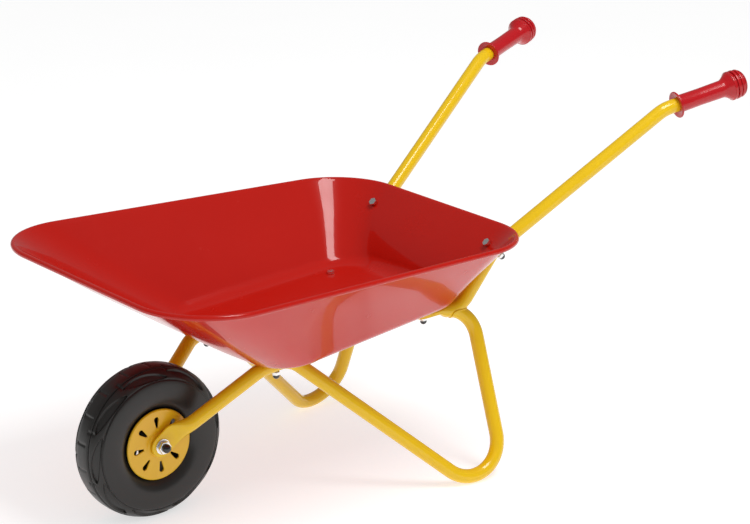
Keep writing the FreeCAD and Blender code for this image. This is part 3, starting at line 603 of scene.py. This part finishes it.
def smooth_line(points, per_span):
    """A Catmull-Rom curve through the points."""
    p = np.array(points, float)
    p = np.vstack([2 * p[0] - p[1], p, 2 * p[-1] - p[-2]])
    out = []
    for i in range(1, len(p) - 2):
        for k in range(per_span):
            t = k / per_span
            a, b, c, d = p[i - 1], p[i], p[i + 1], p[i + 2]
            out.append(0.5 * (2 * b + (c - a) * t + (2 * a - 5 * b + 4 * c - d) * t * t
                              + (3 * b - a - 3 * c + d) * t ** 3))
    out.append(p[-2])
    return np.array(out)


half_section = smooth_line(SIDEWALL, 8)
half_section[:, 0] = np.minimum(half_section[:, 0], TREAD_LIMIT)
mirror = half_section[::-1][1:] * np.array([1, -1])
section = np.vstack([half_section, mirror])
print("tyre section has", len(section), "points")

# %% [markdown]
# The tread mask works in two numbers: how far round the wheel a point is, and how far it lies
# between the shoulder crease (0) and the crown's groove (1). Each leaf starts at the crease and
# sweeps out to the groove, and the two flanks are half a pitch apart. Depths, radii and widths
# are in millimetres.

# %% The tread
LEAVES = 9
CREASE_RADIUS, GROOVE_HALF = 72.7, 11.6
LEAF_LOW, LEAF_HIGH = 73.2, 83.4
LEAF_DEPTH, CREASE_DEPTH, GROOVE_DEPTH, NOTCH_DEPTH, CROWN_DEPTH = 2.5, 0.9, 2.0, 1.3, 1.4
TYRE_STEPS = 540


def smoothstep(low, high, value):
    t = np.clip((value - low) / (high - low), 0, 1)
    return t * t * (3 - 2 * t)


def tread_depth(angle, radius, side, lateral):
    """How deep the tread is pressed in, in millimetres."""
    turn = angle * (-1 if side > 0 else 1) + (math.pi / LEAVES if side > 0 else 0.0)
    pitch = 2 * math.pi / LEAVES
    along = ((turn / pitch) % 1.0 - 0.5) * 2
    across = np.clip((radius - LEAF_LOW) / (LEAF_HIGH - LEAF_LOW), -0.5, 1.5)
    middle = 0.47 + 0.30 * along
    width = 0.40 * np.clip(1 - along ** 2 * 1.05, 0, 1) ** 0.8 + 1e-4
    leaf = 1 - smoothstep(0.78, 1.0, np.abs(across - middle) / width)
    leaf *= smoothstep(72.4, 73.6, radius)
    crease = np.exp(-((radius - CREASE_RADIUS) / 0.55) ** 2)
    groove = np.exp(-((np.abs(lateral) - GROOVE_HALF) / 0.95) ** 2) * (radius > 80)
    notch = np.exp(-((np.abs(along) - 1) / 0.05) ** 2)
    notch = notch * smoothstep(80.5, 82.5, radius) * (np.abs(lateral) > 7)
    crown = np.exp(-((np.abs(along) - 0.5) / 0.05) ** 2) * (np.abs(lateral) < 8.0) * 0.8
    return (LEAF_DEPTH * leaf + CREASE_DEPTH * crease + GROOVE_DEPTH * groove
            + NOTCH_DEPTH * notch + CROWN_DEPTH * crown)


def ring_at(radius, lateral):
    """One ring round the axle; both numbers may vary round it."""
    across = np.broadcast_to(lateral, angles.shape)
    return np.column_stack([radius * np.cos(angles), across, radius * np.sin(angles)])


angles = np.linspace(0, 2 * math.pi, TYRE_STEPS, endpoint=False)
tangents = normalised(np.gradient(section, axis=0))
inward_ways = np.column_stack([-tangents[:, 1], tangents[:, 0]])
towards_core = np.array([62.0, 0]) - section
inward_ways *= np.sign(np.sum(inward_ways * towards_core, 1))[:, None]
tyre_rows = []
for (radius, lateral), way in zip(section, inward_ways):
    side = 1 if lateral > 0 else -1
    depth = tread_depth(angles, radius, side, lateral)
    tyre_rows.append(ring_at(radius + way[0] * depth, lateral + way[1] * depth))
tyre_rows += [ring_at(BORE_RADIUS, -BORE_HALF), ring_at(BORE_RADIUS, BORE_HALF)]
tyre_grid = np.array(tyre_rows) * MM + np.array(AXLE)
tyre_faces = grid_faces(len(tyre_grid), TYRE_STEPS, wrap_rows=True)
tyre = piece_from("tyre_skin", tyre_grid.reshape(-1, 3), tyre_faces, "wheel",
                  TYRE_BLACK, smooth_angle=48.0)
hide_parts("tyre")
print("tyre has", len(tyre.data.polygons), "faces")

# %% [markdown]
# ## The grips
# Each grip is a vinyl moulding pushed over the tube's end: a thin flange that stops the hand, a
# barrel a finger thick, a cone, and a knob with three ring grooves under a flat dome. A lathe
# profile with small rounded corners is all it needs. It starts where the flange sits on the
# right-hand tube and follows that tube's axis; the left grip is its mirror image.

# %% Grips
GRIP_START = np.array([305.142, 163.175, 390.594]) * MM
GRIP_WAY = np.array([0.94531, 0.24537, 0.21489])
KNOB = 17.0


def grip_profile():
    points = [(8.06, 3.0), (8.06, 0.9), (13.6, 0.05), (15.2, 0.05), (15.45, 1.9), (12.6, 2.5),
              (10.1, 4.6), (9.7, 30.0), (10.1, 61.0), (11.6, 64.0), (15.6, 69.4), (16.0, 70.0)]
    radii = [0, 0.5, 0.8, 0.7, 0.7, 2.0, 2.4, 30.0, 8.0, 6.0, 1.0, 0.5]
    for start, crest in ((70.1, KNOB - 0.1), (75.1, KNOB - 0.1), (80.1, KNOB - 0.7)):
        points += [(crest - 0.1, start), (crest, start + 2.9),
                   (crest - 2.4, start + 3.1), (crest - 2.4, start + 4.8)]
        radii += [0.9, 0.9, 0.25, 0.25]
    points += [(14.9, 85.0), (12.4, 87.6), (7.2, 90.0), (0.0, 90.9)]
    radii += [1.0, 4.0, 9.0, 0]
    return rounded(points, radii, steps=4) * MM


for side, hand in SIDES:
    mirror_y = np.array([1, side, 1])
    grip = turned(hand + "_grip_moulding", grip_profile(), GRIP_START * mirror_y,
                  GRIP_WAY * mirror_y, "frame", GRIP_RED, steps=80,
                  smooth_angle=60.0)
    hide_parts(hand + "_grip")
print("two grips turned")

# %% [markdown]
# ## Weld beads
# Each leg tube is welded to its handle tube behind the tray. A weld is a row of overlapping
# ripples that follows the line where one tube meets the other. The leg's own mesh already has
# that line: it is the sharp edge round the leg's sawn end. So the edges there that fold by more
# than a third of a right angle are walked round in order, and a small rippled tube is laid along
# them.

# %% Weld beads
LEG_END = Vector((0.0371, 0.0882, 0.1827))
END_REACH = 0.034
FOLD = math.radians(30)
WELD_RADIUS, RIPPLE_HEIGHT, RIPPLE_LENGTH = 0.00105, 0.00018, 0.0017
WELD_RINGS, WELD_SIDES = 160, 12


def sawn_edge(node_name, side):
    """The longest chain of sharp edges near the leg's sawn end, as points in order."""
    skin = bmesh.new()
    skin.from_mesh(nodes[node_name].data)
    bmesh.ops.remove_doubles(skin, verts=skin.verts, dist=MERGE)
    middle = Vector((LEG_END.x, LEG_END.y * side, LEG_END.z))
    neighbours = {}
    for edge in skin.edges:
        near = all((v.co - middle).length < END_REACH for v in edge.verts)
        if near and len(edge.link_faces) == 2 and edge.calc_face_angle() > FOLD:
            one, other = edge.verts
            neighbours.setdefault(one.index, []).append(other.index)
            neighbours.setdefault(other.index, []).append(one.index)
    skin.verts.ensure_lookup_table()
    chains, seen = [], set()
    for start in sorted(neighbours, key=lambda i: len(neighbours[i])):
        if start in seen:
            continue
        chain, here = [start], start
        seen.add(start)
        while True:
            ahead = [i for i in neighbours[here] if i not in seen]
            if not ahead:
                break
            here = ahead[0]
            seen.add(here)
            chain.append(here)
        chains.append([skin.verts[i].co.copy() for i in chain])
    skin.free()
    return max(chains, key=lambda c: sum((q - p).length for p, q in zip(c, c[1:])))


def rippled_bead(name, node_name, side):
    """A weld along the leg's sawn edge: a closed tube whose radius ripples."""
    chain = np.array([tuple(p) for p in sawn_edge(node_name, side)])
    closed = np.vstack([chain, chain[:1]])
    whole = np.concatenate([[0], np.cumsum(np.linalg.norm(np.diff(closed, axis=0), axis=1))])
    stations = np.linspace(0, whole[-1], WELD_RINGS, endpoint=False)
    line = np.column_stack([np.interp(stations, whole, closed[:, i]) for i in range(3)])
    for _ in range(3):
        line = (np.roll(line, 1, 0) + 2 * line + np.roll(line, -1, 0)) / 4
    ahead = normalised(np.roll(line, -1, 0) - np.roll(line, 1, 0))
    outward = normalised(line - line.mean(0))
    outward = normalised(outward - np.sum(outward * ahead, 1)[:, None] * ahead)
    third = np.cross(ahead, outward)
    turn = np.linspace(0, 2 * math.pi, WELD_SIDES, endpoint=False)[:, None]
    ripples = round(whole[-1] / RIPPLE_LENGTH)
    rings = []
    for i, point in enumerate(line):
        wave = math.sin(i * 2 * math.pi * ripples / WELD_RINGS)
        radius = WELD_RADIUS + RIPPLE_HEIGHT * wave
        rings.append(point + radius * (np.cos(turn) * outward[i] + np.sin(turn) * third[i]))
    print(name, "is", round(whole[-1] / MM, 1), "mm long")
    faces = grid_faces(WELD_RINGS, WELD_SIDES, wrap_rows=True)
    piece_from(name, np.array(rings).reshape(-1, 3), faces, "frame",
               YELLOW_PAINT, smooth_angle=60.0)


for side, hand in SIDES:
    rippled_bead(hand + "_weld", hand + "_fork_leg", side)
print("two weld beads laid")

# %% [markdown]
# ## The measured pieces that stay
# Tubes, hub, axle, bolts, nuts and caps are already the right shape, so their own meshes are
# shown. Their file splits the mesh along every edge. A Weld modifier joins it again, a small Bevel
# rounds the edges that a real part never has dead sharp, and smooth shading does the rest. Each
# node is listed with its finish and its bevel in millimetres.

# %% Dressing the measured pieces
BEVEL_FROM = math.radians(38)
CRISP_FROM = math.radians(36)
DRESS = {
    "left_fork_leg": (YELLOW_PAINT, 0.0), "right_fork_leg": (YELLOW_PAINT, 0.0),
    "left_handle": (YELLOW_PAINT, 0.0), "right_handle": (YELLOW_PAINT, 0.0),
    "left_hub_disc": (HUB_YELLOW, 0.45), "right_hub_disc": (HUB_YELLOW, 0.45),
    "left_bush": (HUB_YELLOW, 0.2), "right_bush": (HUB_YELLOW, 0.2),
    "hub_sleeve": (HUB_YELLOW, 0.0), "axle": (ZINC, 0.4),
    "inner_axle_washers": (ZINC, 0.15), "outer_axle_washers": (ZINC, 0.15),
    "axle_nuts": (ZINC, 0.5), "axle_caps": (CAP_BLACK, 0.2),
}
for group in ("fork_floor", "rear_floor", "rear_wall"):
    DRESS[group + "_bolts"] = (ZINC, 0.4)
    DRESS[group + "_nuts"] = (ZINC, 0.35)
    DRESS[group + "_caps"] = (CAP_BLACK, 0.15)


def dress(name, material, bevel):
    node = nodes[name]
    node.data.materials.clear()
    node.data.materials.append(material)
    node.data.shade_smooth()
    weld = node.modifiers.new("join_edges", "WELD")
    weld.merge_threshold = MERGE
    if bevel:
        edge = node.modifiers.new("soft_edges", "BEVEL")
        edge.width = bevel * MM
        edge.segments = 3
        edge.limit_method = "ANGLE"
        edge.angle_limit = BEVEL_FROM
    split = node.modifiers.new("crisp_edges", "EDGE_SPLIT")
    split.split_angle = CRISP_FROM


for name, (material, bevel) in DRESS.items():
    dress(name, material, bevel)
print("dressed", len(DRESS), "nodes")

# %% [markdown]
# ## The room
# A product studio on white: a pale floor that runs on past the view and glows a little, so that
# it burns out to white, under a dim white sky. A very wide sun gives the soft shading and is
# hidden from reflections. One soft box overhead is the thing that glossy paint mirrors, and it
# draws the long highlight inside the tray.

# %% Floor and light
FLOOR_REACH = 12


def pale_floor():
    finish = Finish("pale_floor")
    tone = finish.mix(finish.noise(3.0, detail=2.0), (0.58, 0.58, 0.58), (0.61, 0.61, 0.61))
    finish.set(Base_Color=tone, Roughness=0.85, Emission_Color=(1.0, 1.0, 1.0),
               Emission_Strength=0.63)
    mesh = bpy.data.meshes.new("floor")
    corners = [(-1, -1), (1, -1), (1, 1), (-1, 1)]
    mesh.from_pydata([(x * FLOOR_REACH, y * FLOOR_REACH, 0) for x, y in corners], [],
                     [(0, 1, 2, 3)])
    floor = bpy.data.objects.new("floor", mesh)
    mesh.materials.append(finish.material)
    bpy.context.scene.collection.objects.link(floor)


def soft_box(name, place, aim, width, height, power):
    data = bpy.data.lights.new(name, "AREA")
    data.shape = "RECTANGLE"
    data.size, data.size_y, data.energy = width, height, power
    lamp = bpy.data.objects.new(name, data)
    lamp.location = place
    lamp.rotation_euler = (Vector(aim) - Vector(place)).to_track_quat("-Z", "Y").to_euler()
    bpy.context.scene.collection.objects.link(lamp)


pale_floor()
world = bpy.data.worlds.new("studio")
world.use_nodes = True
sky = world.node_tree.nodes["Background"]
sky.inputs["Color"].default_value = (1.0, 1.0, 1.0, 1)
sky.inputs["Strength"].default_value = 0.24
bpy.context.scene.world = world
sun = bpy.data.lights.new("sky_light", "SUN")
sun.energy, sun.angle = 0.85, math.radians(100)
sun_lamp = bpy.data.objects.new("sky_light", sun)
sun_lamp.visible_glossy = False
sun_lamp.rotation_euler = Vector((0.45, 0.75, -1.9)).to_track_quat("-Z", "Y").to_euler()
bpy.context.scene.collection.objects.link(sun_lamp)
soft_box("streak", (0.12, -1.00, 2.50), (0.06, 0.1, 0.25), 0.72, 1.35, 32)
bpy.context.scene.view_settings.view_transform = "Standard"
print("studio lit")

# %% [markdown]
# ## The camera
# A long lens from a little above, off the wheel's left front. A long lens keeps both handles
# nearly the same size.

# %% Camera
camera_data = bpy.data.cameras.new("camera")
camera_data.lens = 122.27
camera_data.sensor_width = 36.0
camera_data.clip_start, camera_data.clip_end = 0.05, 60.0
camera = bpy.data.objects.new("camera", camera_data)
camera.location = (-1.68849, -2.1527, 1.0928)
aim = Vector((0.00121, 0.0, 0.2235)) - camera.location
camera.rotation_euler = aim.to_track_quat("-Z", "Y").to_euler()
bpy.context.scene.collection.objects.link(camera)
bpy.context.scene.camera = camera
print("camera", round(aim.length, 3), "m away")
